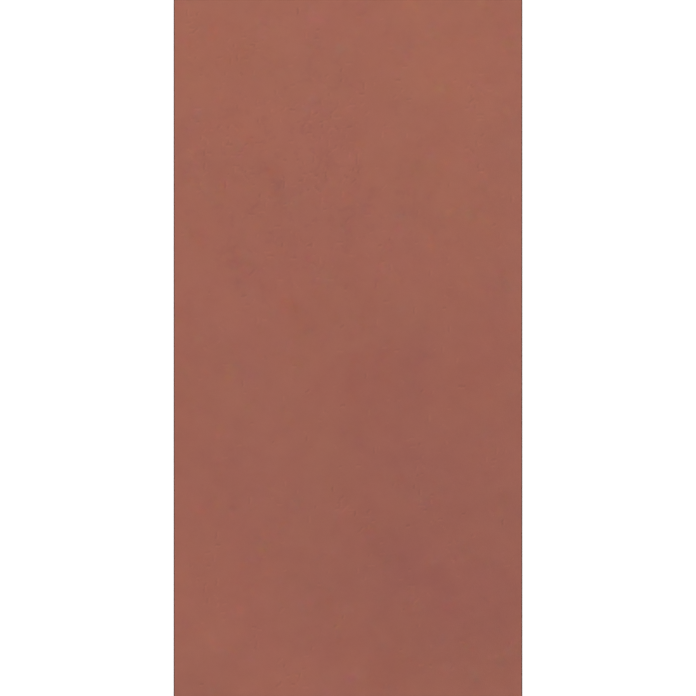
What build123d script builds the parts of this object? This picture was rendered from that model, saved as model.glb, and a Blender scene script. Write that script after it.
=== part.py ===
"""Rectified porcelain tile: one dry-pressed and fired slab, lying face up on its keyed back.

The origin is the centre of the back, +X runs across the tile, +Y along it and +Z out of the face.
"""

import os

from build123d import *

# Slab, in millimetres: work size of a nominal 60 x 120 cm rectified tile
TILE_WIDTH = 598.0
TILE_LENGTH = 1198.0
TILE_THICKNESS = 9.0

# Arrises, ground after firing
FACE_BEVEL_WIDTH = 1.5
FACE_BEVEL_DROP = 1.0
BACK_ARRIS = 0.5

# Keying pattern pressed into the back: sunk square cells between a lattice of flush ribs
KEY_CELL = 34.0
KEY_RIB = 6.0
KEY_DEPTH = 0.6
KEY_DRAFT_ANGLE = 45.0
KEY_BORDER_LEAST = 12.0

key_pitch = KEY_CELL + KEY_RIB


def cells_that_fit(side):
    """Number of whole key cells along one side of the back, inside its plain border."""
    return int((side - 2 * KEY_BORDER_LEAST + KEY_RIB) // key_pitch)


# One key cell, widest at its mouth so that the press lets go and the adhesive fills it
with BuildPart() as key_cell:
    with BuildSketch() as mouth:
        Rectangle(KEY_CELL, KEY_CELL)
    extrude(amount=KEY_DEPTH, taper=KEY_DRAFT_ANGLE)

with BuildPart() as porcelain_tile:
    # Slab cut square on all four sides
    with BuildSketch() as outline:
        Rectangle(TILE_WIDTH, TILE_LENGTH)
    extrude(amount=TILE_THICKNESS)

    # Shallow bevel round the face, small arris round the back
    face = porcelain_tile.faces().sort_by(Axis.Z)[-1]
    chamfer(face.edges(), FACE_BEVEL_WIDTH, FACE_BEVEL_DROP, reference=face)
    back = porcelain_tile.faces().sort_by(Axis.Z)[0]
    chamfer(back.edges(), BACK_ARRIS)

    # Key cells in rows and columns, centred on the back
    with GridLocations(key_pitch, key_pitch, cells_that_fit(TILE_WIDTH), cells_that_fit(TILE_LENGTH)):
        add(key_cell.part, mode=Mode.SUBTRACT, clean=False)

porcelain_tile.part.label = "porcelain_tile"

os.makedirs("parts", exist_ok=True)
export_step(porcelain_tile.part, "parts/porcelain_tile.step")
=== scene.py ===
"""Dressed model of a matt terracotta porcelain tile, lying face up on a plain white studio floor.

The centre of the tile's back is the origin, +X runs across the tile, +Y along it and +Z out of its face.
Lengths are in metres and colours are linear.
"""

import logging
import math
import random
from collections.abc import Callable, Iterator, Mapping
from dataclasses import dataclass
from enum import Enum

import bmesh
import bpy
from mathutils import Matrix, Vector


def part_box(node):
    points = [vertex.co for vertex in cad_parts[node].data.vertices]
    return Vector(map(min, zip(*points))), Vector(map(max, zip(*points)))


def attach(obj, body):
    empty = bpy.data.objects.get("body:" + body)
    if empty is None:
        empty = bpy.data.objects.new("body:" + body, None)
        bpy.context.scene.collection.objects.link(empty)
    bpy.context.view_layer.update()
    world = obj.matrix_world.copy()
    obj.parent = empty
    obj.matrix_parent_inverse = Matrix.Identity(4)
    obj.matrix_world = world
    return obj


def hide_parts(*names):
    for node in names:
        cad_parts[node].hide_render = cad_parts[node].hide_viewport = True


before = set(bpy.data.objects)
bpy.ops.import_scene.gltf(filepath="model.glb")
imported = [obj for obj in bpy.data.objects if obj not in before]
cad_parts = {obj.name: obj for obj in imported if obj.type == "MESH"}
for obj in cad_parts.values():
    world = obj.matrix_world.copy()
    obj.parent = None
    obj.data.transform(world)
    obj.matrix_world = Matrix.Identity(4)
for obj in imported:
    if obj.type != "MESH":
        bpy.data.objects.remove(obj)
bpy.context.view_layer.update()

LOG = logging.getLogger("tile_scene")

NODE = "porcelain_tile"
BODY = "root"

# Attribute of the mesh that tells how far each point of the face is pressed, 1 at the deepest
MARK_DEPTH = "mark_depth"

MILLIMETRE = 0.001

# Upward part of a mesh face's normal: the least on a level one and the most on an upright one
LEVEL = 0.999
UPRIGHT = 0.1

Colour = tuple[float, float, float]
Point = tuple[float, float, float]
Spot = tuple[float, float]
GridPoint = tuple[int, int]
FaceTest = Callable[[bmesh.types.BMFace], bool]
PointTest = Callable[[bmesh.types.BMVert], bool]

# Multiple of a colour that leaves it as it is
UNCHANGED: Colour = (1.0, 1.0, 1.0)


# Shader maths


@dataclass(frozen=True)
class Field:
    """A number, colour or vector that changes over a surface, held as the socket that gives it.

    The operators are for numbers. Colours and vectors go through the graph's own methods.
    """

    graph: "NodeGraph"
    socket: bpy.types.NodeSocket

    def __add__(self, other: "float | Field") -> "Field":
        """Adds a number to this one."""
        return self.graph.math("ADD", self, other)

    def __radd__(self, other: float) -> "Field":
        """Adds this number to a plain one."""
        return self.graph.math("ADD", other, self)

    def __sub__(self, other: "float | Field") -> "Field":
        """Takes a number from this one."""
        return self.graph.math("SUBTRACT", self, other)

    def __rsub__(self, other: float) -> "Field":
        """Takes this number from a plain one."""
        return self.graph.math("SUBTRACT", other, self)

    def __mul__(self, other: "float | Field") -> "Field":
        """Multiplies this number by another."""
        return self.graph.math("MULTIPLY", self, other)

    def __rmul__(self, other: float) -> "Field":
        """Multiplies a plain number by this one."""
        return self.graph.math("MULTIPLY", other, self)


SocketValue = float | Colour | Field


class NodeGraph:
    """Node tree of one material or world, with the node patterns that the finishes share."""

    MIX_FACTOR = 0
    MIX_COLOUR_UNDER = 6
    MIX_COLOUR_OVER = 7
    MIX_COLOUR_RESULT = 2
    NOISE_COLOUR = 1
    NOISE_MEAN = 0.5

    def __init__(self, tree: bpy.types.NodeTree) -> None:
        """Starts on a tree as Blender makes it."""
        self.tree = tree

    def feed(self, socket: bpy.types.NodeSocket, value: SocketValue) -> None:
        """Sets a socket to a plain value, or links a field to it.

        Args:
            socket: Input to feed.
            value: Number, colour, vector or field.
        """
        if isinstance(value, Field):
            self.tree.links.new(value.socket, socket)
        elif socket.type == "RGBA":
            socket.default_value = (*value, 1.0)
        else:
            socket.default_value = value

    def node(
        self,
        kind: str,
        settings: Mapping[str, object] | None = None,
        inputs: Mapping[str | int, SocketValue] | None = None,
        output: str | int = 0,
    ) -> Field:
        """Adds one node.

        Args:
            kind: Blender's name for the node's type.
            settings: Attributes of the node, set before its sockets.
            inputs: Values or fields for its sockets, by name or number.
            output: Socket that the node's field is read from.

        Returns:
            The field that the node gives.
        """
        made = self.tree.nodes.new(kind)
        for name, setting in (settings or {}).items():
            setattr(made, name, setting)
        for key, value in (inputs or {}).items():
            self.feed(made.inputs[key], value)
        return Field(self, made.outputs[output])

    def math(self, operation: str, first: SocketValue, second: SocketValue) -> Field:
        """Adds a Math node on two numbers."""
        return self.node("ShaderNodeMath", {"operation": operation}, {0: first, 1: second})

    def vector(self, operation: str, first: SocketValue, second: SocketValue) -> Field:
        """Adds a Vector Math node on two vectors."""
        return self.node("ShaderNodeVectorMath", {"operation": operation}, {0: first, 1: second})

    def unsigned(self, value: Field) -> Field:
        """Gives a number without its sign."""
        return self.node("ShaderNodeMath", {"operation": "ABSOLUTE"}, {0: value})

    def length(self, vector: Field) -> Field:
        """Gives the length of a vector."""
        return self.node("ShaderNodeVectorMath", {"operation": "LENGTH"}, {0: vector}, "Value")

    def position(self) -> Field:
        """Gives the place on the piece, in metres."""
        return self.node("ShaderNodeTexCoord", output="Object")

    def height(self, place: Field) -> Field:
        """Gives the Z of a place."""
        return self.node("ShaderNodeSeparateXYZ", inputs={"Vector": place}, output="Z")

    def along(self, place: Field) -> Field:
        """Gives the Y of a place."""
        return self.node("ShaderNodeSeparateXYZ", inputs={"Vector": place}, output="Y")

    def ramp(self, value: Field, start: float, end: float) -> Field:
        """Rises smoothly from 0 where a value is at its start to 1 where it is at its end."""
        inputs = {"Value": value, "From Min": start, "From Max": end}
        return self.node("ShaderNodeMapRange", {"interpolation_type": "SMOOTHSTEP"}, inputs)

    def noise(self, place: Field, layer: "NoiseLayer") -> Field:
        """Gives soft noise, from -0.5 to 0.5 and mostly near 0."""
        return self.node("ShaderNodeTexNoise", inputs=layer.sockets(place)) - self.NOISE_MEAN

    def drift(self, place: Field, layer: "NoiseLayer", reach: Point) -> Field:
        """Gives a vector that wanders softly about zero from place to place.

        Args:
            place: Where it is read.
            layer: Noise that it follows.
            reach: How far it can go either way, along each of its axes.

        Returns:
            The vector.
        """
        noise = self.node("ShaderNodeTexNoise", inputs=layer.sockets(place), output=self.NOISE_COLOUR)
        centred = self.vector("SUBTRACT", noise, (self.NOISE_MEAN,) * 3)
        return self.vector("MULTIPLY", centred, tuple(part / self.NOISE_MEAN for part in reach))

    def mix(self, factor: SocketValue, under: SocketValue, over: SocketValue) -> Field:
        """Lays one colour over another.

        Args:
            factor: Share of the upper colour, which may pass 0 and 1.
            under: Lower colour.
            over: Upper colour.

        Returns:
            The mixed colour.
        """
        settings = {"data_type": "RGBA", "clamp_factor": False}
        inputs = {self.MIX_FACTOR: factor, self.MIX_COLOUR_UNDER: under, self.MIX_COLOUR_OVER: over}
        return self.node("ShaderNodeMix", settings, inputs, self.MIX_COLOUR_RESULT)

    def bump(self, height: Field) -> Field:
        """Turns a height in metres into a surface normal."""
        return self.node("ShaderNodeBump", inputs={"Distance": 1.0, "Height": height}, output="Normal")

    def seen_directly(self) -> Field:
        """Tells what is seen, straight or in a mirror or a glass, from what only gives light.

        Returns:
            1 for what is seen and 0 for what gives light.
        """
        rays = ("Is Camera Ray", "Is Glossy Ray", "Is Transmission Ray")
        camera, glossy, through = (self.node("ShaderNodeLightPath", output=ray) for ray in rays)
        return self.math("MAXIMUM", self.math("MAXIMUM", camera, glossy), through)


class SurfaceGraph(NodeGraph):
    """Node tree of a material on a piece, with its one surface shader."""

    def __init__(self, name: str, specular: float) -> None:
        """Starts a new material.

        Args:
            name: Name of the material.
            specular: Strength of its gloss, where 0.5 is that of glass.
        """
        self.material = bpy.data.materials.new(name)
        self.material.use_nodes = True
        super().__init__(self.material.node_tree)
        self.shader = self.tree.nodes["Principled BSDF"]
        self.shader.inputs["Specular IOR Level"].default_value = specular

    def dress(self, colour: Field, roughness: Field, normal: Field) -> bpy.types.Material:
        """Feeds the surface shader.

        Args:
            colour: Colour over the surface.
            roughness: Roughness over the surface.
            normal: Surface normal with the finest relief.

        Returns:
            The finished material.
        """
        self.feed(self.shader.inputs["Base Color"], colour)
        self.feed(self.shader.inputs["Roughness"], roughness)
        self.feed(self.shader.inputs["Normal"], normal)
        return self.material


# Finishes


@dataclass(frozen=True)
class NoiseLayer:
    """Soft noise of one size.

    Attributes:
        size: Distance from one of its clouds to the next.
        detail: Number of finer layers in it.
        roughness: Strength of each finer layer beside the one before.
    """

    size: float
    detail: float
    roughness: float = 0.5

    def sockets(self, place: Field) -> dict[str, SocketValue]:
        """Gives the inputs of a noise node that is read at a place."""
        shape = {"Scale": 1.0 / self.size, "Detail": self.detail, "Roughness": self.roughness}
        return {"Vector": place, **shape}


@dataclass(frozen=True)
class NoisePatches:
    """Patches where soft noise passes a level.

    Attributes:
        layer: The noise, which goes from -0.5 to 0.5.
        least: Level at the rim of a patch.
        full: Level from which a patch is at its full strength.
    """

    layer: NoiseLayer
    least: float
    full: float

    def drawn(self, graph: NodeGraph, place: Field) -> Field:
        """Gives the strength of the patches at a place, from 0 to 1."""
        return graph.ramp(graph.noise(place, self.layer), self.least, self.full)


@dataclass(frozen=True)
class ShadeCloud:
    """A soft oval cloud on the face.

    Attributes:
        centre: Its middle.
        reach: Half its size across and along the tile.
        strength: What it adds in its middle, below 0 where it takes away.
    """

    centre: Spot
    reach: Spot
    strength: float

    def drawn(self, graph: NodeGraph, place: Field) -> Field:
        """Draws the cloud.

        Args:
            graph: Tree to draw in.
            place: Place on the tile.

        Returns:
            What the cloud adds at that place.
        """
        from_centre = graph.vector("SUBTRACT", place, (*self.centre, 0.0))
        in_reaches = graph.vector("MULTIPLY", from_centre, (1 / self.reach[0], 1 / self.reach[1], 0.0))
        return graph.ramp(graph.length(in_reaches), 1.0, 0.0) * self.strength


@dataclass(frozen=True)
class FaceToneShading:
    """Depth of colour over the face, from about 0, pale, to about 1, deep: paler at the +Y end, deeper
    towards the -Y end, with soft clouds.

    Attributes:
        pale_end: Where along the tile the slow change from end to end is palest.
        deep_end: Where it is deepest.
        end_to_end: How far it goes from pale to deep.
        clouds: Single clouds that stand out.
        cloud_edge: Noise that makes their outlines uneven.
        cloud_edge_reach: How far it moves them.
        haze: Noise of the faint clouds all over the face.
        haze_deepening: How far the haze goes from pale to deep.
    """

    pale_end: float = 0.60
    deep_end: float = -0.25
    end_to_end: float = 0.80
    clouds: tuple[ShadeCloud, ...] = (
        ShadeCloud(centre=(0.17, -0.42), reach=(0.32, 0.36), strength=0.36),
        ShadeCloud(centre=(0.07, -0.356), reach=(0.10, 0.09), strength=0.30),
        ShadeCloud(centre=(0.18, -0.02), reach=(0.30, 0.22), strength=0.10),
        ShadeCloud(centre=(0.05, -0.10), reach=(0.16, 0.16), strength=0.17),
        ShadeCloud(centre=(0.00, 0.20), reach=(0.06, 0.11), strength=0.22),
        ShadeCloud(centre=(-0.18, 0.30), reach=(0.13, 0.08), strength=0.15),
        ShadeCloud(centre=(0.01, 0.42), reach=(0.06, 0.10), strength=0.15),
        ShadeCloud(centre=(-0.30, -0.44), reach=(0.22, 0.28), strength=-0.42),
        ShadeCloud(centre=(-0.10, -0.60), reach=(0.16, 0.14), strength=-0.22),
        ShadeCloud(centre=(-0.30, 0.00), reach=(0.20, 0.35), strength=-0.16),
        ShadeCloud(centre=(-0.17, -0.05), reach=(0.12, 0.42), strength=-0.12),
        ShadeCloud(centre=(0.16, 0.22), reach=(0.10, 0.12), strength=-0.12),
        ShadeCloud(centre=(0.16, 0.48), reach=(0.10, 0.08), strength=-0.30),
        ShadeCloud(centre=(0.05, 0.59), reach=(0.26, 0.06), strength=-0.15),
        ShadeCloud(centre=(0.29, 0.08), reach=(0.03, 0.07), strength=-0.25),
    )
    cloud_edge: NoiseLayer = NoiseLayer(size=240 * MILLIMETRE, detail=3.0)
    cloud_edge_reach: float = 80 * MILLIMETRE
    haze: NoiseLayer = NoiseLayer(size=75 * MILLIMETRE, detail=3.0)
    haze_deepening: float = 1.15

    def drawn(self, graph: NodeGraph, place: Field) -> Field:
        """Draws the shading.

        Args:
            graph: Tree to draw in.
            place: Place on the tile.

        Returns:
            The depth of colour at that place.
        """
        reach = (self.cloud_edge_reach, self.cloud_edge_reach, 0.0)
        cloudy = graph.vector("ADD", place, graph.drift(place, self.cloud_edge, reach))
        depth = graph.ramp(graph.along(cloudy), self.pale_end, self.deep_end) * self.end_to_end
        for cloud in self.clouds:
            depth = depth + cloud.drawn(graph, cloudy)
        return depth + graph.noise(place, self.haze) * self.haze_deepening


@dataclass(frozen=True)
class Pigment:
    """Faint change of hue, where the pigment is warmer or cooler than its mean.

    Attributes:
        mottle: Noise of the small change.
        mottle_reach: How far it takes each part of the colour either way.
        patches: Where the small change is strong.
        between_patches: Share of it that is left elsewhere.
        calm: Where it is weaker.
        tint: Noise of the broad change.
        tint_reach: How far it takes each part of the colour either way.
    """

    mottle: NoiseLayer = NoiseLayer(size=26 * MILLIMETRE, detail=4.0, roughness=0.65)
    mottle_reach: Colour = (0.23, 0.25, 0.42)
    patches: NoisePatches = NoisePatches(NoiseLayer(size=42 * MILLIMETRE, detail=2.0), least=0.0, full=0.22)
    between_patches: float = 0.15
    calm: ShadeCloud = ShadeCloud(centre=(0.10, -0.15), reach=(0.30, 0.26), strength=-0.6)
    tint: NoiseLayer = NoiseLayer(size=150 * MILLIMETRE, detail=1.0)
    tint_reach: Colour = (0.045, 0.045, 0.065)

    def drawn(self, graph: NodeGraph, place: Field) -> Field:
        """Draws the change of hue.

        Args:
            graph: Tree to draw in.
            place: Place on the tile.

        Returns:
            What the colour is multiplied by at that place.
        """
        share = self.patches.drawn(graph, place) + self.between_patches
        calmed = share * (1.0 + self.calm.drawn(graph, place))
        mottled = graph.vector("MULTIPLY", graph.drift(place, self.mottle, self.mottle_reach), calmed)
        tinted = graph.drift(place, self.tint, self.tint_reach)
        return graph.vector("ADD", graph.vector("ADD", mottled, tinted), UNCHANGED)


@dataclass(frozen=True)
class Smudges:
    """Small dull smudges and broken veins, most of them near the upper end of the face.

    Attributes:
        spots: Where the smudges are.
        vein: Noise whose middle level the veins follow.
        vein_width: Noise that a vein takes up on either side of that level.
        vein_stretches: Where the veins show.
        shade: What the colour is multiplied by in a full smudge.
        crowd: Where smudges and veins are stronger.
        elsewhere: Their strength outside that place.
    """

    spots: NoisePatches = NoisePatches(
        NoiseLayer(size=17 * MILLIMETRE, detail=3.0, roughness=0.6), least=0.06, full=0.18
    )
    vein: NoiseLayer = NoiseLayer(size=60 * MILLIMETRE, detail=3.0)
    vein_width: float = 0.05
    vein_stretches: NoisePatches = NoisePatches(
        NoiseLayer(size=48 * MILLIMETRE, detail=1.0), least=0.0, full=0.15
    )
    shade: Colour = (0.945, 0.925, 0.96)
    crowd: ShadeCloud = ShadeCloud(centre=(-0.08, 0.32), reach=(0.42, 0.45), strength=0.8)
    elsewhere: float = 0.2

    def drawn(self, graph: NodeGraph, place: Field) -> Field:
        """Draws the smudges and veins.

        Args:
            graph: Tree to draw in.
            place: Place on the tile.

        Returns:
            What the colour is multiplied by at that place.
        """
        vein = graph.ramp(graph.unsigned(graph.noise(place, self.vein)), self.vein_width, 0.0)
        smudge = self.spots.drawn(graph, place) + vein * self.vein_stretches.drawn(graph, place)
        strength = self.crowd.drawn(graph, place) + self.elsewhere
        return graph.mix(smudge * strength, UNCHANGED, self.shade)


@dataclass(frozen=True)
class MarkDustShadeAndHighlight:
    """Ragged dust and painted shade in the hollows of the marks, and wear and painted highlight on their
    lips.

    Depths are shares of the deepest hollow, below 0 on a lip.

    Attributes:
        speck: Noise that makes dust and wear ragged.
        speck_reach: How far it changes the depth that they follow.
        dust_least: Depth from which there is dust.
        dust_full: Depth from which the dust is full.
        dust: Share of the colour that full dust and painted shade take away.
        wear_and_highlight_least: Depth from which there is wear.
        wear_and_highlight_full: Depth from which the wear is full.
        wear: Share of the colour that full wear and painted highlight add.
    """

    speck: NoiseLayer = NoiseLayer(size=2.6 * MILLIMETRE, detail=2.0)
    speck_reach: float = 0.8
    dust_least: float = 0.04
    dust_full: float = 0.65
    dust: float = 0.10
    wear_and_highlight_least: float = -0.04
    wear_and_highlight_full: float = -0.30
    wear: float = 0.08

    def drawn(self, graph: NodeGraph, place: Field) -> Field:
        """Draws the dust and painted shade in the hollows, and the wear and painted highlight on the lips.

        Args:
            graph: Tree to draw in.
            place: Place on the tile.

        Returns:
            What the colour is multiplied by at that place.
        """
        pressed = graph.node("ShaderNodeAttribute", {"attribute_name": MARK_DEPTH}, output="Fac")
        ragged = pressed + graph.noise(place, self.speck) * self.speck_reach * graph.unsigned(pressed)
        # Dust and painted shade darken the hollows of the marks
        dust_and_shade = graph.ramp(ragged, self.dust_least, self.dust_full)
        # Wear and painted highlight lighten the lips beside them
        worn = graph.ramp(ragged, self.wear_and_highlight_least, self.wear_and_highlight_full)
        return 1.0 - dust_and_shade * self.dust + worn * self.wear


@dataclass(frozen=True)
class FaceFinish:
    """Matt terracotta face: faint shading, mottled pigment, smudges, marks with dust and painted shade in
    their hollows and wear and painted highlight on their lips, and fine sandy grain.

    Attributes:
        name: Name of the material.
        pale: Colour where the shading is palest.
        deep: Colour where it is deepest.
        roughness: Mean roughness.
        specular: Strength of the gloss.
        shading: Depth of colour all over the face.
        changes: What multiplies the colour.
        mottle: Noise of the small clouds.
        mottle_deepening: How far they go from pale to deep.
        mottle_roughening: How far they change the roughness.
        grain: Noise of the coarse grain.
        grain_deepening: How far it goes from pale to deep.
        grain_roughening: How far it changes the roughness.
        grain_relief: Height of its relief.
        sand: Noise of the fine grain.
        sand_deepening: How far it goes from pale to deep.
        sand_relief: Height of its relief.
    """

    name: str = "matt_terracotta_face"
    pale: Colour = (0.3306, 0.1093, 0.0711)
    deep: Colour = (0.2863, 0.0919, 0.0641)
    roughness: float = 0.66
    specular: float = 0.3
    shading: FaceToneShading = FaceToneShading()
    changes: tuple[Pigment, Smudges, MarkDustShadeAndHighlight] = (Pigment(), Smudges(), MarkDustShadeAndHighlight())
    mottle: NoiseLayer = NoiseLayer(size=22 * MILLIMETRE, detail=4.0, roughness=0.6)
    mottle_deepening: float = 0.38
    mottle_roughening: float = 0.16
    grain: NoiseLayer = NoiseLayer(size=3.2 * MILLIMETRE, detail=2.0)
    grain_deepening: float = 0.2
    grain_roughening: float = 0.08
    grain_relief: float = 0.08 * MILLIMETRE
    sand: NoiseLayer = NoiseLayer(size=0.9 * MILLIMETRE, detail=2.0)
    sand_deepening: float = 0.7
    sand_relief: float = 0.15 * MILLIMETRE

    def material(self) -> bpy.types.Material:
        """Makes the finish.

        Returns:
            Its material.
        """
        graph = SurfaceGraph(self.name, self.specular)
        place = graph.position()
        mottle = graph.noise(place, self.mottle)
        grain = graph.noise(place, self.grain)
        sand = graph.noise(place, self.sand)
        uneven = mottle * self.mottle_deepening + grain * self.grain_deepening + sand * self.sand_deepening
        colour = graph.mix(self.shading.drawn(graph, place) + uneven, self.pale, self.deep)
        for change in self.changes:
            colour = graph.vector("MULTIPLY", colour, change.drawn(graph, place))
        roughness = self.roughness + mottle * self.mottle_roughening + grain * self.grain_roughening
        relief = grain * self.grain_relief + sand * self.sand_relief
        return graph.dress(colour, roughness, graph.bump(relief))


@dataclass(frozen=True)
class GroundEdgeAndShadeFinish:
    """Ground body of the tile: deeper than its face, partly as the body's own colour and partly as painted
    shade that makes the bevel round the face a dark line, with fine lines left along each edge by the
    wheel.

    Attributes:
        name: Name of the material.
        body: Colour of the ground body, darkened with painted shade so that the bevel round the face reads
            as a dark line.
        dust: Colour where dust lies on it.
        roughness: Mean roughness.
        specular: Strength of the gloss.
        lines: Noise of the wheel's lines, before it is squeezed across them.
        line_pitch: Distance from one line to the next.
        line_relief: Height of their relief.
        line_roughening: How far they change the roughness.
        line_share: Share that they have in where the dust lies.
        speckle: Noise of the dust's own specks.
        speckle_share: Share that these have in where the dust lies.
        dust_least: Level of both together from which there is dust.
        dust_full: Level from which the dust is full.
    """

    name: str = "ground_edge_and_painted_shade"
    # Partly the body's own colour and partly painted shade, for the dark line of the bevel round the face
    body: Colour = (0.084, 0.029, 0.021)
    dust: Colour = (0.120, 0.044, 0.033)
    roughness: float = 0.7
    specular: float = 0.15
    lines: NoiseLayer = NoiseLayer(size=120 * MILLIMETRE, detail=3.0)
    line_pitch: float = 0.5 * MILLIMETRE
    line_relief: float = 0.01 * MILLIMETRE
    line_roughening: float = 0.3
    line_share: float = 0.6
    speckle: NoiseLayer = NoiseLayer(size=1.1 * MILLIMETRE, detail=2.0)
    speckle_share: float = 0.4
    dust_least: float = -0.1
    dust_full: float = 0.25

    def material(self) -> bpy.types.Material:
        """Makes the finish.

        Returns:
            Its material.
        """
        graph = SurfaceGraph(self.name, self.specular)
        place = graph.position()
        squeezed = graph.vector("MULTIPLY", place, (1.0, 1.0, self.lines.size / self.line_pitch))
        lines = graph.noise(squeezed, self.lines)
        laid = lines * self.line_share + graph.noise(place, self.speckle) * self.speckle_share
        colour = graph.mix(graph.ramp(laid, self.dust_least, self.dust_full), self.body, self.dust)
        roughness = self.roughness + lines * self.line_roughening
        return graph.dress(colour, roughness, graph.bump(lines * self.line_relief))


@dataclass(frozen=True)
class PressedBackFinish:
    """Pressed back of the tile: its bare body, with a worn film of pale kiln wash on the ribs.

    Attributes:
        name: Name of the material.
        body: Colour of the bare body.
        worn: Colour where it is rubbed.
        wash: Colour of the kiln wash.
        roughness: Mean roughness.
        specular: Strength of the gloss.
        press: Noise of the press's texture.
        press_relief: Height of its relief.
        press_roughening: How far it changes the roughness.
        patch: Noise of the rubbed and washed patches.
        worn_mean: Mean wear, where 0 is none and 1 is full.
        worn_patch_share: How far the patches change it.
        worn_press_share: How far the press's texture changes it.
        rib_height: Height over the ribs' plane up to which the wash is whole. It ends at twice that.
        wash_patch_share: Share that the patches have in where the wash lies.
        wash_press_share: Share that the press's texture has in it.
        wash_least: Level of both together from which there is wash.
        wash_full: Level from which the wash is full.
        wash_cover: How far full wash covers the body.
    """

    name: str = "pressed_back"
    body: Colour = (0.165, 0.062, 0.046)
    worn: Colour = (0.215, 0.088, 0.066)
    wash: Colour = (0.46, 0.38, 0.33)
    roughness: float = 0.8
    specular: float = 0.2
    press: NoiseLayer = NoiseLayer(size=2.4 * MILLIMETRE, detail=3.0, roughness=0.6)
    press_relief: float = 0.06 * MILLIMETRE
    press_roughening: float = 0.2
    patch: NoiseLayer = NoiseLayer(size=45 * MILLIMETRE, detail=4.0, roughness=0.6)
    worn_mean: float = 0.5
    worn_patch_share: float = 0.6
    worn_press_share: float = 0.4
    rib_height: float = 0.1 * MILLIMETRE
    wash_patch_share: float = 0.7
    wash_press_share: float = 0.3
    wash_least: float = -0.14
    wash_full: float = 0.16
    wash_cover: float = 0.7

    def material(self) -> bpy.types.Material:
        """Makes the finish.

        Returns:
            Its material.
        """
        graph = SurfaceGraph(self.name, self.specular)
        place = graph.position()
        press = graph.noise(place, self.press)
        patch = graph.noise(place, self.patch)
        rubbed = self.worn_mean + patch * self.worn_patch_share + press * self.worn_press_share
        bare = graph.mix(rubbed, self.body, self.worn)
        on_rib = graph.ramp(graph.height(place), 2 * self.rib_height, self.rib_height)
        laid = patch * self.wash_patch_share + press * self.wash_press_share
        washed = on_rib * graph.ramp(laid, self.wash_least, self.wash_full) * self.wash_cover
        colour = graph.mix(washed, bare, self.wash)
        roughness = self.roughness + press * self.press_roughening
        return graph.dress(colour, roughness, graph.bump(press * self.press_relief))


# Mesh work


class Axis(Enum):
    """Direction on the tile."""

    ACROSS = (1.0, 0.0, 0.0)
    ALONG = (0.0, 1.0, 0.0)


class MeshEdit:
    """Edit mode on one piece, with its faces chosen in code."""

    def __init__(self, piece: bpy.types.Object) -> None:
        """Takes the piece to edit."""
        self.piece = piece

    def __enter__(self) -> "MeshEdit":
        """Selects the piece alone and opens it.

        Returns:
            This edit.
        """
        bpy.ops.object.select_all(action="DESELECT")
        self.piece.select_set(True)
        bpy.context.view_layer.objects.active = self.piece
        bpy.ops.object.mode_set(mode="EDIT")
        return self

    def __exit__(self, *error: object) -> None:
        """Closes the piece."""
        bpy.ops.object.mode_set(mode="OBJECT")

    def pick(self, wanted: FaceTest) -> None:
        """Selects the faces that pass a test, and no others.

        Args:
            wanted: Test of one face.
        """
        bpy.ops.mesh.select_mode(type="FACE")
        bpy.ops.mesh.select_all(action="DESELECT")
        mesh = bmesh.from_edit_mesh(self.piece.data)
        for face in [face for face in mesh.faces if wanted(face)]:
            face.select_set(True)
        bmesh.update_edit_mesh(self.piece.data, loop_triangles=False, destructive=False)

    def pick_points(self, wanted: PointTest) -> None:
        """Selects the points that pass a test, and no others, with the faces between them.

        Args:
            wanted: Test of one point.
        """
        bpy.ops.mesh.select_mode(type="VERT")
        bpy.ops.mesh.select_all(action="DESELECT")
        mesh = bmesh.from_edit_mesh(self.piece.data)
        for point in [point for point in mesh.verts if wanted(point)]:
            point.select_set(True)
        mesh.select_flush_mode()
        bmesh.update_edit_mesh(self.piece.data, loop_triangles=False, destructive=False)

    def cut(self, wanted: FaceTest, axis: Axis, place: float) -> None:
        """Cuts the faces that pass a test along a plane.

        Args:
            wanted: Test of one face.
            axis: Axis that the plane stands across.
            place: Where on that axis it stands.
        """
        self.pick(wanted)
        point = tuple(place * part for part in axis.value)
        bpy.ops.mesh.bisect(plane_co=point, plane_no=axis.value)


# Tile


class Press(Enum):
    """How far up a mark moves the face: below 0 in its hollow, above 0 in the lip beside it."""

    DEEP = -0.28 * MILLIMETRE
    PLAIN = -0.16 * MILLIMETRE
    FAINT = -0.09 * MILLIMETRE
    LIP = 0.10 * MILLIMETRE


@dataclass(frozen=True)
class Stroke:
    """Way that a mark runs over the grid of the face.

    Attributes:
        step: Step from one point of its hollow to the next.
        lip: Step from its hollow to its lip.
    """

    step: GridPoint
    lip: GridPoint

    def hollow(self, start: GridPoint, run: int) -> list[GridPoint]:
        """Gives the points of a hollow from its first point and the number of its points."""
        across, along = self.step
        return [(start[0] + number * across, start[1] + number * along) for number in range(run)]

    def lips(self, hollow: list[GridPoint]) -> list[GridPoint]:
        """Gives the points of the lip beside a hollow."""
        return [(column + self.lip[0], row + self.lip[1]) for column, row in hollow]


CROSSWISE = Stroke(step=(1, 0), lip=(0, -1))
LENGTHWISE = Stroke(step=(0, 1), lip=(1, 0))
RISING = Stroke(step=(1, 1), lip=(1, -1))
FALLING = Stroke(step=(1, -1), lip=(-1, -1))


@dataclass(frozen=True)
class MarkTrail:
    """A line along which the press left small marks.

    Attributes:
        start: Where it begins on the face.
        end: Where it ends.
        spread: How far the marks stray from it.
        count: Number of marks to place along it.
    """

    start: Spot
    end: Spot
    spread: float
    count: int

    def places(self, chance: random.Random) -> Iterator[Spot]:
        """Gives a place on the face for each mark.

        Args:
            chance: Source of the random numbers.

        Returns:
            The places, in no order.
        """
        for _ in range(self.count):
            share = chance.random()
            across = self.start[0] + share * (self.end[0] - self.start[0])
            along = self.start[1] + share * (self.end[1] - self.start[1])
            yield chance.gauss(across, self.spread), chance.gauss(along, self.spread)


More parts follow.
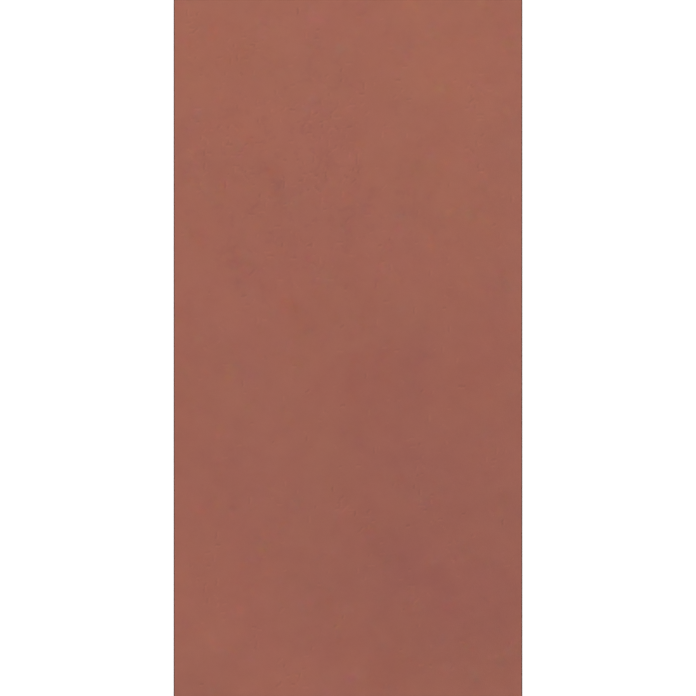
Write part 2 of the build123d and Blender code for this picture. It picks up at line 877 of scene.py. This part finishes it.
@dataclass(frozen=True)
class FaceWave:
    """Slight waves that the press leaves all over the face.

    Attributes:
        name: Name of the waves.
        size: Distance from one wave to the next.
        depth: Height of a wave from its trough.
        sunk: How far below the plane of the bevel's upper edge the highest crest stays.
    """

    name: str
    size: float
    depth: float
    sunk: float


@dataclass
class PorcelainTile:
    """The tile: one fired slab with a marked face, ground bevels and edges, and a keyed back."""

    width: float
    length: float
    thickness: float
    name: str = "terracotta_tile"

    # Bevel round the face and arris round the back
    face_bevel_width: float = 1.5 * MILLIMETRE
    face_bevel_drop: float = 1.0 * MILLIMETRE
    back_arris: float = 0.5 * MILLIMETRE

    # Cells and ribs of the back, and the share by which a mesh face may miss the area of a cell
    key_cell: float = 34.0 * MILLIMETRE
    key_rib: float = 6.0 * MILLIMETRE
    key_depth: float = 0.6 * MILLIMETRE
    key_border_least: float = 12.0 * MILLIMETRE
    cell_slack: float = 0.01

    # Mesh of the face: even blocks, each divided into small squares along both its sides
    blocks_across: int = 8
    blocks_along: int = 16
    grains_per_block: int = 25

    # Small marks: the trails that they follow, and what each one is drawn from by chance
    mark_trails: tuple[MarkTrail, ...] = (
        MarkTrail(start=(0.0, -0.60), end=(0.0, 0.60), spread=0.22, count=340),
        MarkTrail(start=(-0.20, 0.24), end=(0.00, 0.44), spread=0.09, count=110),
        MarkTrail(start=(-0.272, 0.58), end=(-0.265, 0.50), spread=0.008, count=16),
        MarkTrail(start=(-0.20, 0.53), end=(-0.15, 0.51), spread=0.010, count=9),
        MarkTrail(start=(-0.14, 0.42), end=(-0.03, 0.40), spread=0.010, count=20),
        MarkTrail(start=(-0.03, 0.40), end=(0.01, 0.34), spread=0.009, count=18),
        MarkTrail(start=(0.01, 0.34), end=(-0.01, 0.28), spread=0.012, count=18),
        MarkTrail(start=(-0.26, 0.40), end=(-0.245, 0.33), spread=0.010, count=15),
        MarkTrail(start=(-0.21, 0.36), end=(-0.18, 0.29), spread=0.009, count=18),
        MarkTrail(start=(-0.09, 0.31), end=(-0.05, 0.28), spread=0.010, count=12),
        MarkTrail(start=(-0.07, 0.17), end=(-0.03, 0.11), spread=0.012, count=12),
        MarkTrail(start=(0.21, 0.45), end=(0.22, 0.30), spread=0.009, count=22),
        MarkTrail(start=(0.25, 0.22), end=(0.27, 0.18), spread=0.008, count=8),
        MarkTrail(start=(0.125, -0.15), end=(0.13, -0.27), spread=0.008, count=18),
        MarkTrail(start=(0.25, -0.18), end=(0.245, -0.22), spread=0.006, count=6),
        MarkTrail(start=(-0.03, -0.25), end=(0.03, -0.30), spread=0.012, count=13),
        MarkTrail(start=(0.15, -0.30), end=(0.18, -0.35), spread=0.008, count=8),
        MarkTrail(start=(-0.24, -0.35), end=(-0.235, -0.49), spread=0.012, count=18),
        MarkTrail(start=(-0.165, -0.46), end=(-0.155, -0.52), spread=0.008, count=8),
        MarkTrail(start=(-0.12, -0.55), end=(-0.07, -0.585), spread=0.010, count=12),
    )
    mark_seed: int = 20
    mark_runs: tuple[int, ...] = (1, 2, 2, 2, 3, 3, 4)
    mark_depths: tuple[Press, ...] = (Press.FAINT,) * 4 + (Press.PLAIN,) * 3 + (Press.DEEP,)
    mark_strokes: tuple[Stroke, ...] = (CROSSWISE,) * 4 + (LENGTHWISE,) * 3 + (RISING, FALLING)

    # Border of small squares that stays even, and how far the grid points inside it are shifted
    mark_border: int = 4
    grain_shift: float = 1.0 * MILLIMETRE

    # Waves, how far from the bevels they begin to fade, and the sharpest angle that is shaded as smooth
    waves: tuple[FaceWave, ...] = (
        FaceWave(name="trowel", size=110 * MILLIMETRE, depth=0.10 * MILLIMETRE, sunk=0.15 * MILLIMETRE),
        FaceWave(name="ripple", size=16 * MILLIMETRE, depth=0.05 * MILLIMETRE, sunk=0.0),
    )
    wave_fade: float = 20 * MILLIMETRE
    smooth_angle: float = math.radians(12.0)

    @classmethod
    def on_node(cls, node: str) -> "PorcelainTile":
        """Makes a tile of the size that a node of the frame has."""
        low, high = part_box(node)
        return cls(width=high[0] - low[0], length=high[1] - low[1], thickness=high[2] - low[2])

    @property
    def face_width(self) -> float:
        """Width of the face inside its bevels."""
        return self.width - 2 * self.face_bevel_width

    @property
    def face_length(self) -> float:
        """Length of the face inside its bevels."""
        return self.length - 2 * self.face_bevel_width

    @property
    def grains_across(self) -> int:
        """Number of small mesh squares across the face."""
        return self.blocks_across * self.grains_per_block

    @property
    def grains_along(self) -> int:
        """Number of small mesh squares along the face."""
        return self.blocks_along * self.grains_per_block

    def build(self) -> bpy.types.Object:
        """Models and dresses the tile.

        Returns:
            The finished piece.
        """
        piece = self._slab()
        self._dress(piece)
        with MeshEdit(piece) as edit:
            self._key_back(edit)
            self._divide_face(edit)
            self._loosen_face(edit)
            self._press_marks(edit)
        self._note_marks(piece)
        self._wave_face(piece)
        bpy.ops.object.shade_smooth_by_angle(angle=self.smooth_angle)
        return piece

    def declare(self, piece: bpy.types.Object) -> None:
        """Sets the piece on the frame in place of its plain solid.

        Args:
            piece: The finished piece.
        """
        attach(piece, BODY)
        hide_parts(NODE)

    def _is_face(self, face: bmesh.types.BMFace) -> bool:
        """Tells whether a mesh face looks straight up."""
        return face.normal.z > LEVEL

    def _is_back(self, face: bmesh.types.BMFace) -> bool:
        """Tells whether a mesh face looks straight down."""
        return face.normal.z < -LEVEL

    def _is_edge(self, face: bmesh.types.BMFace) -> bool:
        """Tells whether a mesh face is on a bevel, an edge or an arris."""
        return abs(face.normal.z) <= LEVEL

    def _is_cell(self, face: bmesh.types.BMFace) -> bool:
        """Tells whether a mesh face of the back has the size of a key cell."""
        cell_area = self.key_cell**2
        return self._is_back(face) and math.isclose(face.calc_area(), cell_area, rel_tol=self.cell_slack)

    def _is_shown(self, face: bmesh.types.BMFace) -> bool:
        """Tells whether a mesh face is on the face, a bevel or an edge."""
        return face.normal.z > -UPRIGHT

    def _slab(self) -> bpy.types.Object:
        """Makes the slab with its bevels round the face and its arris round the back.

        Returns:
            The piece, with a plain face and a plain back.
        """
        edge_height = self.thickness - self.face_bevel_drop - self.back_arris
        bpy.ops.object.select_all(action="DESELECT")
        bpy.ops.mesh.primitive_cube_add(
            size=1.0,
            calc_uvs=False,
            location=(0.0, 0.0, self.back_arris + edge_height / 2),
            scale=(self.width, self.length, edge_height),
        )
        piece = bpy.context.active_object
        piece.name = self.name
        piece.data.name = self.name
        bpy.ops.object.transform_apply(location=True, rotation=True, scale=True)
        with MeshEdit(piece) as edit:
            edit.pick(self._is_face)
            bpy.ops.mesh.inset(thickness=self.face_bevel_width, depth=self.face_bevel_drop)
            edit.pick(self._is_back)
            bpy.ops.mesh.inset(thickness=self.back_arris, depth=self.back_arris)
        return piece

    def _dress(self, piece: bpy.types.Object) -> None:
        """Gives the edges, the face and the back their finishes.

        Args:
            piece: The slab.
        """
        for finish in (GroundEdgeAndShadeFinish(), FaceFinish(), PressedBackFinish()):
            piece.data.materials.append(finish.material())
        with MeshEdit(piece) as edit:
            for slot, wanted in enumerate((self._is_edge, self._is_face, self._is_back)):
                edit.pick(wanted)
                piece.active_material_index = slot
                bpy.ops.object.material_slot_assign()

    def _cell_sides(self, side: float) -> Iterator[float]:
        """Works out the row of key cells along one side of the back.

        Args:
            side: Length of that side.

        Returns:
            Where the sides of the cells stand, from the middle.
        """
        pitch = self.key_cell + self.key_rib
        count = int((side - 2 * self.key_border_least + self.key_rib) // pitch)
        for number in range(count):
            centre = (number - (count - 1) / 2) * pitch
            yield centre - self.key_cell / 2
            yield centre + self.key_cell / 2

    def _key_back(self, edit: MeshEdit) -> None:
        """Sinks the key cells into the back, with drafted sides.

        Args:
            edit: The piece in edit mode.
        """
        for axis, side in ((Axis.ACROSS, self.width), (Axis.ALONG, self.length)):
            for place in self._cell_sides(side):
                edit.cut(self._is_back, axis, place)
        edit.pick(self._is_cell)
        bpy.ops.mesh.inset(thickness=self.key_depth, depth=-self.key_depth, use_individual=True)

    def _divide_face(self, edit: MeshEdit) -> None:
        """Divides the face into small even squares, and the bevels and edges into longer pieces.

        Args:
            edit: The piece in edit mode.
        """
        for axis, side, blocks in (
            (Axis.ACROSS, self.face_width, self.blocks_across),
            (Axis.ALONG, self.face_length, self.blocks_along),
        ):
            for number in range(1, blocks):
                edit.cut(self._is_shown, axis, (number / blocks - 0.5) * side)
        edit.pick(self._is_face)
        bpy.ops.mesh.subdivide(number_cuts=self.grains_per_block - 1)

    def _is_on_face(self, point: bmesh.types.BMVert | bpy.types.MeshVertex) -> bool:
        """Tells whether a point is on the face, or in one of its marks."""
        return point.co.z > self.thickness - self.face_bevel_drop / 2

    def _grid_point(self, across: float, along: float) -> GridPoint:
        """Finds the grid point nearest to a place on the face.

        Args:
            across: The place's X.
            along: The place's Y.

        Returns:
            Its column and row.
        """
        column = round((across / self.face_width + 0.5) * self.grains_across)
        row = round((along / self.face_length + 0.5) * self.grains_along)
        return column, row

    def _is_clear(self, point: GridPoint) -> bool:
        """Tells whether a grid point is clear of the border of the face."""
        rooms = zip(point, (self.grains_across, self.grains_along))
        return all(self.mark_border <= place <= side - self.mark_border for place, side in rooms)

    def _loosen_face(self, edit: MeshEdit) -> None:
        """Shifts the grid points at random in their plane, so that marks get uneven outlines.

        Args:
            edit: The piece in edit mode.
        """

        def is_free(point: bmesh.types.BMVert) -> bool:
            """Tells whether a point is on the face and clear of its border."""
            return self._is_on_face(point) and self._is_clear(self._grid_point(*point.co.xy))

        edit.pick_points(is_free)
        bpy.ops.transform.vertex_random(offset=self.grain_shift, uniform=1.0, seed=self.mark_seed)
        bpy.ops.transform.resize(value=(1.0, 1.0, 0.0), center_override=(0.0, 0.0, self.thickness))

    def _marks(self) -> dict[GridPoint, Press]:
        """Places the marks, each a short hollow with a lip pushed up beside it.

        Returns:
            What is done to each grid point that a mark takes.
        """
        chance = random.Random(self.mark_seed)
        pressed: dict[GridPoint, Press] = {}
        for trail in self.mark_trails:
            for place in trail.places(chance):
                stroke = chance.choice(self.mark_strokes)
                hollow = stroke.hollow(self._grid_point(*place), chance.choice(self.mark_runs))
                lips = stroke.lips(hollow)
                depth = chance.choice(self.mark_depths)
                if all(self._is_clear(point) and point not in pressed for point in hollow + lips):
                    pressed.update(dict.fromkeys(lips, Press.LIP))
                    pressed.update(dict.fromkeys(hollow, depth))
        return pressed

    def _press_marks(self, edit: MeshEdit) -> None:
        """Presses the marks into the face, one depth after another.

        Args:
            edit: The piece in edit mode.
        """
        pressed = self._marks()

        def takes(point: bmesh.types.BMVert, press: Press) -> bool:
            """Tells whether a point is pressed in one way."""
            return self._is_on_face(point) and pressed.get(self._grid_point(*point.co.xy)) is press

        for press in Press:
            edit.pick_points(lambda point: takes(point, press))
            bpy.ops.transform.translate(value=(0.0, 0.0, press.value))

    def _note_marks(self, piece: bpy.types.Object) -> None:
        """Notes how far each point of the face is pressed, for the dust and painted shade in the marks and
        the wear and painted highlight on their lips.

        Args:
            piece: The piece, with its marks and a level face round them.
        """
        points = piece.data.vertices
        depths = [(point.co.z - self.thickness) / Press.DEEP.value for point in points]
        noted = [depth if self._is_on_face(point) else 0.0 for point, depth in zip(points, depths)]
        piece.data.attributes.new(MARK_DEPTH, "FLOAT", "POINT").data.foreach_set("value", noted)

    def _wave_face(self, piece: bpy.types.Object) -> None:
        """Gives the face its slight waves, which fade out before the bevels.

        Args:
            piece: The piece.
        """
        group = piece.vertex_groups.new(name="waved")
        for point in piece.data.vertices:
            inside = min(self.face_width / 2 - abs(point.co.x), self.face_length / 2 - abs(point.co.y))
            if self._is_on_face(point) and inside > 0:
                group.add([point.index], min(1.0, inside / self.wave_fade), "REPLACE")
        for wave in self.waves:
            clouds = bpy.data.textures.new(wave.name, "CLOUDS")
            clouds.noise_scale = wave.size
            displace = piece.modifiers.new(wave.name, "DISPLACE")
            displace.texture = clouds
            displace.texture_coords = "LOCAL"
            displace.direction = "Z"
            displace.vertex_group = group.name
            displace.strength = wave.depth
            displace.mid_level = 1.0 + wave.sunk / wave.depth
            bpy.ops.object.modifier_apply(modifier=wave.name)
        piece.vertex_groups.clear()


# Studio


@dataclass(frozen=True)
class SoftLamp:
    """A wide studio lamp, so far off that it lights the tile and the floor evenly.

    Attributes:
        name: Name of the lamp.
        direction: Where it stands, seen from the tile.
        level: Light that it gives a level surface, where 1 shows a colour as it is written.
        width: Angle that it takes up, seen from the tile.
    """

    name: str
    direction: Point
    level: float
    width: float

    def hang(self) -> None:
        """Adds the lamp to the scene."""
        towards = Vector(self.direction).normalized()
        data = bpy.data.lights.new(self.name, "SUN")
        data.angle = self.width
        data.energy = self.level * math.pi / towards.z
        lamp = bpy.data.objects.new(self.name, data)
        lamp.location = self.direction
        lamp.rotation_euler = towards.to_track_quat("Z", "Y").to_euler()
        bpy.context.collection.objects.link(lamp)


@dataclass(frozen=True)
class Studio:
    """White floor, soft lamps, sky and camera."""

    # Floor: how far below the tile it lies, its shade, and the glow that makes it white to the camera
    floor_side: float = 80.0
    floor_gap: float = 0.1 * MILLIMETRE
    floor_shade: float = 0.8
    floor_glow: float = 0.4

    # Light from all round, on the same scale as a lamp's level
    sky: float = 0.35
    sky_colour: Colour = (1.0, 1.0, 1.0)
    lamps: tuple[SoftLamp, ...] = (
        SoftLamp("overhead", direction=(0.0, 0.0, 5.0), level=0.40, width=math.radians(50.0)),
        SoftLamp("far_end", direction=(0.0, 3.6, 3.3), level=0.25, width=math.radians(25.0)),
    )

    # Framing, in pixels of the picture, and the camera's lens in millimetres
    picture_side_px: float = 696.0
    tile_width_px: float = 348.6
    lens: float = 200.0
    sensor: float = 36.0

    def floor(self) -> bpy.types.Object:
        """Lays the floor, which is white to the camera and keeps the shadow of the tile.

        Returns:
            The floor.
        """
        bpy.ops.object.select_all(action="DESELECT")
        bpy.ops.mesh.primitive_plane_add(size=self.floor_side, location=(0.0, 0.0, -self.floor_gap))
        floor = bpy.context.active_object
        floor.name = "studio_floor"
        material = bpy.data.materials.new("white_floor")
        material.use_nodes = True
        graph = NodeGraph(material.node_tree)
        shade = graph.node("ShaderNodeBsdfDiffuse", inputs={"Color": (self.floor_shade,) * 3})
        strength = graph.seen_directly() * self.floor_glow
        glow = graph.node("ShaderNodeEmission", inputs={"Strength": strength})
        both = graph.node("ShaderNodeAddShader", inputs={0: shade, 1: glow})
        nodes = material.node_tree.nodes
        nodes.remove(nodes["Principled BSDF"])
        graph.feed(nodes["Material Output"].inputs["Surface"], both)
        floor.data.materials.append(material)
        return floor

    def light(self) -> None:
        """Hangs the lamps and sets the sky, which is white to the camera."""
        for lamp in self.lamps:
            lamp.hang()
        world = bpy.data.worlds.new("studio_sky")
        world.use_nodes = True
        graph = NodeGraph(world.node_tree)
        background = world.node_tree.nodes["Background"]
        graph.feed(background.inputs["Color"], self.sky_colour)
        graph.feed(background.inputs["Strength"], self.sky + graph.seen_directly() * (1.0 - self.sky))
        bpy.context.scene.world = world
        bpy.context.scene.view_settings.view_transform = "Standard"

    def aim(self, tile: PorcelainTile) -> None:
        """Sets the camera straight above the tile, so near that its ends lie just outside the picture.

        Args:
            tile: Tile to look at.
        """
        data = bpy.data.cameras.new("camera")
        data.lens = self.lens
        data.sensor_width = self.sensor
        seen = tile.width * self.picture_side_px / self.tile_width_px
        camera = bpy.data.objects.new("camera", data)
        camera.location = (0.0, 0.0, tile.thickness + seen * self.lens / self.sensor)
        bpy.context.collection.objects.link(camera)
        bpy.context.scene.camera = camera


def main() -> None:
    """Builds the tile and the studio round it."""
    logging.basicConfig(level=logging.INFO, format="%(name)s: %(message)s")
    tile = PorcelainTile.on_node(NODE)
    studio = Studio()
    studio.aim(tile)
    piece = tile.build()
    tile.declare(piece)
    LOG.info("%s has %d faces", piece.name, len(piece.data.polygons))
    studio.floor()
    studio.light()
    LOG.info("studio has %d lamps", len(studio.lamps))


if __name__ == "__main__":
    main()
